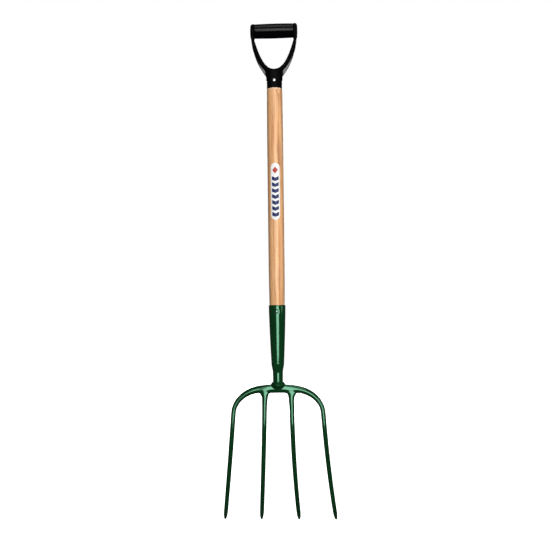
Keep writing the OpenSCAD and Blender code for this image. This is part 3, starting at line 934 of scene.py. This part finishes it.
def spindle_cap(side):
    """The cap in the right ear, for side 1, or in the left ear, for side -1."""
    outer = GRIP_HALF - CAP_SINK
    profile = [(r, side * (outer - depth)) for r, depth in CAP_PROFILE]
    name = "spindle_cap_left" if side < 0 else "spindle_cap_right"
    return crease(lathe(name, profile, 64, "x", (0, 0, BAR_Z)), 40)


finished(spindle_cap(-1), BAR_BLACK, "bar_plastic", "spindle_caps")
finished(spindle_cap(1), BAR_BLACK, "bar_plastic")


# ---- Rivets ----
HEAD_ANGLES, TAIL_ANGLES = (0, 15, 30, 45, 60, 75, 88), (85, 65, 45, 25, 0)
RIVET_SINK = 0.6
BURR_H = 1.1  # from the socket's back to the outside of the washer on it


def rivet(name, z, shank_r, head, tail, front, back):
    """A rivet along Y. Its head and tail are domes of (radius, height), and front and back are
    the places where they are seated."""
    (head_r, head_h), (tail_r, tail_h) = head, tail
    profile = [
        (head_r * math.sin(a), front - head_h * math.cos(a)) for a in np.radians(HEAD_ANGLES)
    ]
    shank_ends = front + RIVET_SINK, back - RIVET_SINK
    radii = (head_r, shank_r), (shank_r, tail_r)
    profile += [(r, y) for y, pair in zip(shank_ends, radii) for r in pair]
    profile += [
        (tail_r * math.sin(a), back + tail_h * math.cos(a)) for a in np.radians(TAIL_ANGLES)
    ]
    return crease(lathe(name, profile, 48, "y", (0, 0, z)), 40)


ferrule_seat = float(ferrule_r(RIVET_Z))
ferrule_rivet = rivet(
    "ferrule_rivet_visual",
    RIVET_Z,
    shank_r=2.45,
    head=(4.5, 1.7),
    tail=(3.8, 1.3),
    front=-ferrule_seat + 0.3,
    back=ferrule_seat,
)
grip_rivet = rivet(
    "grip_rivet_visual",
    GRIP_RIVET_Z,
    shank_r=2.2,
    head=(3.9, 1.7),
    tail=(3.2, 1.2),
    front=-SOCKET_R - 0.1,
    back=SOCKET_R + BURR_H,
)
finished(ferrule_rivet, DULL_STEEL, "bright_steel", "ferrule_rivet")
finished(grip_rivet, STEEL, "bright_steel", "grip_rivet")
for name in ("grip_rivet_burr", "grip_spindle"):
    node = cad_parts[name]
    node.data.materials.clear()
    node.data.materials.append(STEEL)


# ---- Floor, light and camera ----
FLOOR_R, FLOOR_Z, FLOOR_SIDES = 9000, -0.6, 96


def stage_floor():
    """A white disc under the points that glows as the backdrop does and lights nothing."""
    paint = Paint("floor_white", Roughness=0.7, Specular_IOR_Level=0.0, Emission_Strength=1.0)
    paint.shader.inputs["Emission Color"].default_value = (1, 1, 1, 1)
    cloud = paint.noise(paint.stretched((3, 3, 3)), detail=2)
    paint.set("Base Color", paint.ramp(cloud, (0.4, (0.90, 0.90, 0.90)), (0.6, (0.92, 0.92, 0.92))))
    angles = [2 * math.pi * k / FLOOR_SIDES for k in range(FLOOR_SIDES)]
    circle = [(FLOOR_R * math.cos(a), FLOOR_R * math.sin(a), FLOOR_Z) for a in angles]
    floor = mesh_object("floor", circle, [list(range(FLOOR_SIDES))])
    floor.data.materials.append(paint.material)
    floor.visible_glossy = False
    floor.visible_diffuse = False


# (name, place, target, width, height, watts, whether it shows in reflections)
SOFTBOXES = (
    ("front_softbox", (0.29, -1.9, 0.67), (0.29, 0, 0.67), 1.15, 1.36, 24, True),
    ("front_softbox_upper", (0.12, -1.9, 1.65), (0.12, 0, 1.65), 1.5, 0.6, 9, True),
    ("top_softbox", (0.2, -0.6, 2.6), (0, 0, 0.6), 1.2, 1.0, 5, True),
    ("front_fill", (0.4, -2.0, 1.2), (0, 0, 0.9), 1.4, 1.6, 17, False),
    ("back_fill", (-0.5, 2.2, 1.3), (0, 0, 0.8), 1.6, 1.6, 26, False),
    ("right_fill", (2.2, -0.8, 1.2), (0, 0, 0.7), 0.7, 1.8, 7, True),
    ("back_softbox", (0, 2.6, 1.5), (0, 0, 0.7), 1.5, 2.0, 30, True),
)
WORLD_LIGHT, WORLD_SEEN = 0.05, 1.0


def softbox(name, place, target, width, height, power, reflected):
    light = bpy.data.lights.new(name, "AREA")
    light.shape, light.size, light.size_y, light.energy = "RECTANGLE", width, height, power
    lamp = bpy.data.objects.new(name, light)
    bpy.context.scene.collection.objects.link(lamp)
    lamp.location = place
    lamp.rotation_euler = (Vector(target) - Vector(place)).to_track_quat("-Z", "Y").to_euler()
    lamp.visible_camera = False
    lamp.visible_glossy = reflected


def studio():
    """The softboxes, and a world that the camera sees as white but that gives little light."""
    for settings in SOFTBOXES:
        softbox(*settings)
    world = bpy.data.worlds.new("studio")
    bpy.context.scene.world = world
    world.use_nodes = True
    tree = world.node_tree
    background = tree.nodes["Background"]
    background.inputs["Color"].default_value = (1, 1, 1, 1)
    seen = tree.nodes.new("ShaderNodeLightPath")
    level = tree.nodes.new("ShaderNodeMapRange")
    level.inputs["To Min"].default_value = WORLD_LIGHT
    level.inputs["To Max"].default_value = WORLD_SEEN
    tree.links.new(seen.outputs["Is Camera Ray"], level.inputs["Value"])
    tree.links.new(level.outputs["Result"], background.inputs["Strength"])
    bpy.context.scene.view_settings.view_transform = "Standard"


CAMERA_TURN, CAMERA_ROLL = math.radians(3), math.radians(0.68)
CAMERA_AWAY, CAMERA_RIGHT, CAMERA_Z = 1.755, 0.0017, 0.5883
SENSOR_MM, LENS_MM = 36, 47.9


def camera():
    """Level, a little to the right of the label side, and rolled a little as the photograph is."""
    data = bpy.data.cameras.new("camera")
    data.sensor_width, data.lens = SENSOR_MM, LENS_MM
    data.clip_start, data.clip_end = 0.05, 60
    made = bpy.data.objects.new("camera", data)
    bpy.context.scene.collection.objects.link(made)
    sin, cos = math.sin(CAMERA_TURN), math.cos(CAMERA_TURN)
    made.location = (
        CAMERA_AWAY * sin + CAMERA_RIGHT * cos,
        -CAMERA_AWAY * cos + CAMERA_RIGHT * sin,
        CAMERA_Z,
    )
    made.rotation_euler = (math.radians(90), CAMERA_ROLL, CAMERA_TURN)
    bpy.context.scene.camera = made


stage_floor()
studio()
camera()
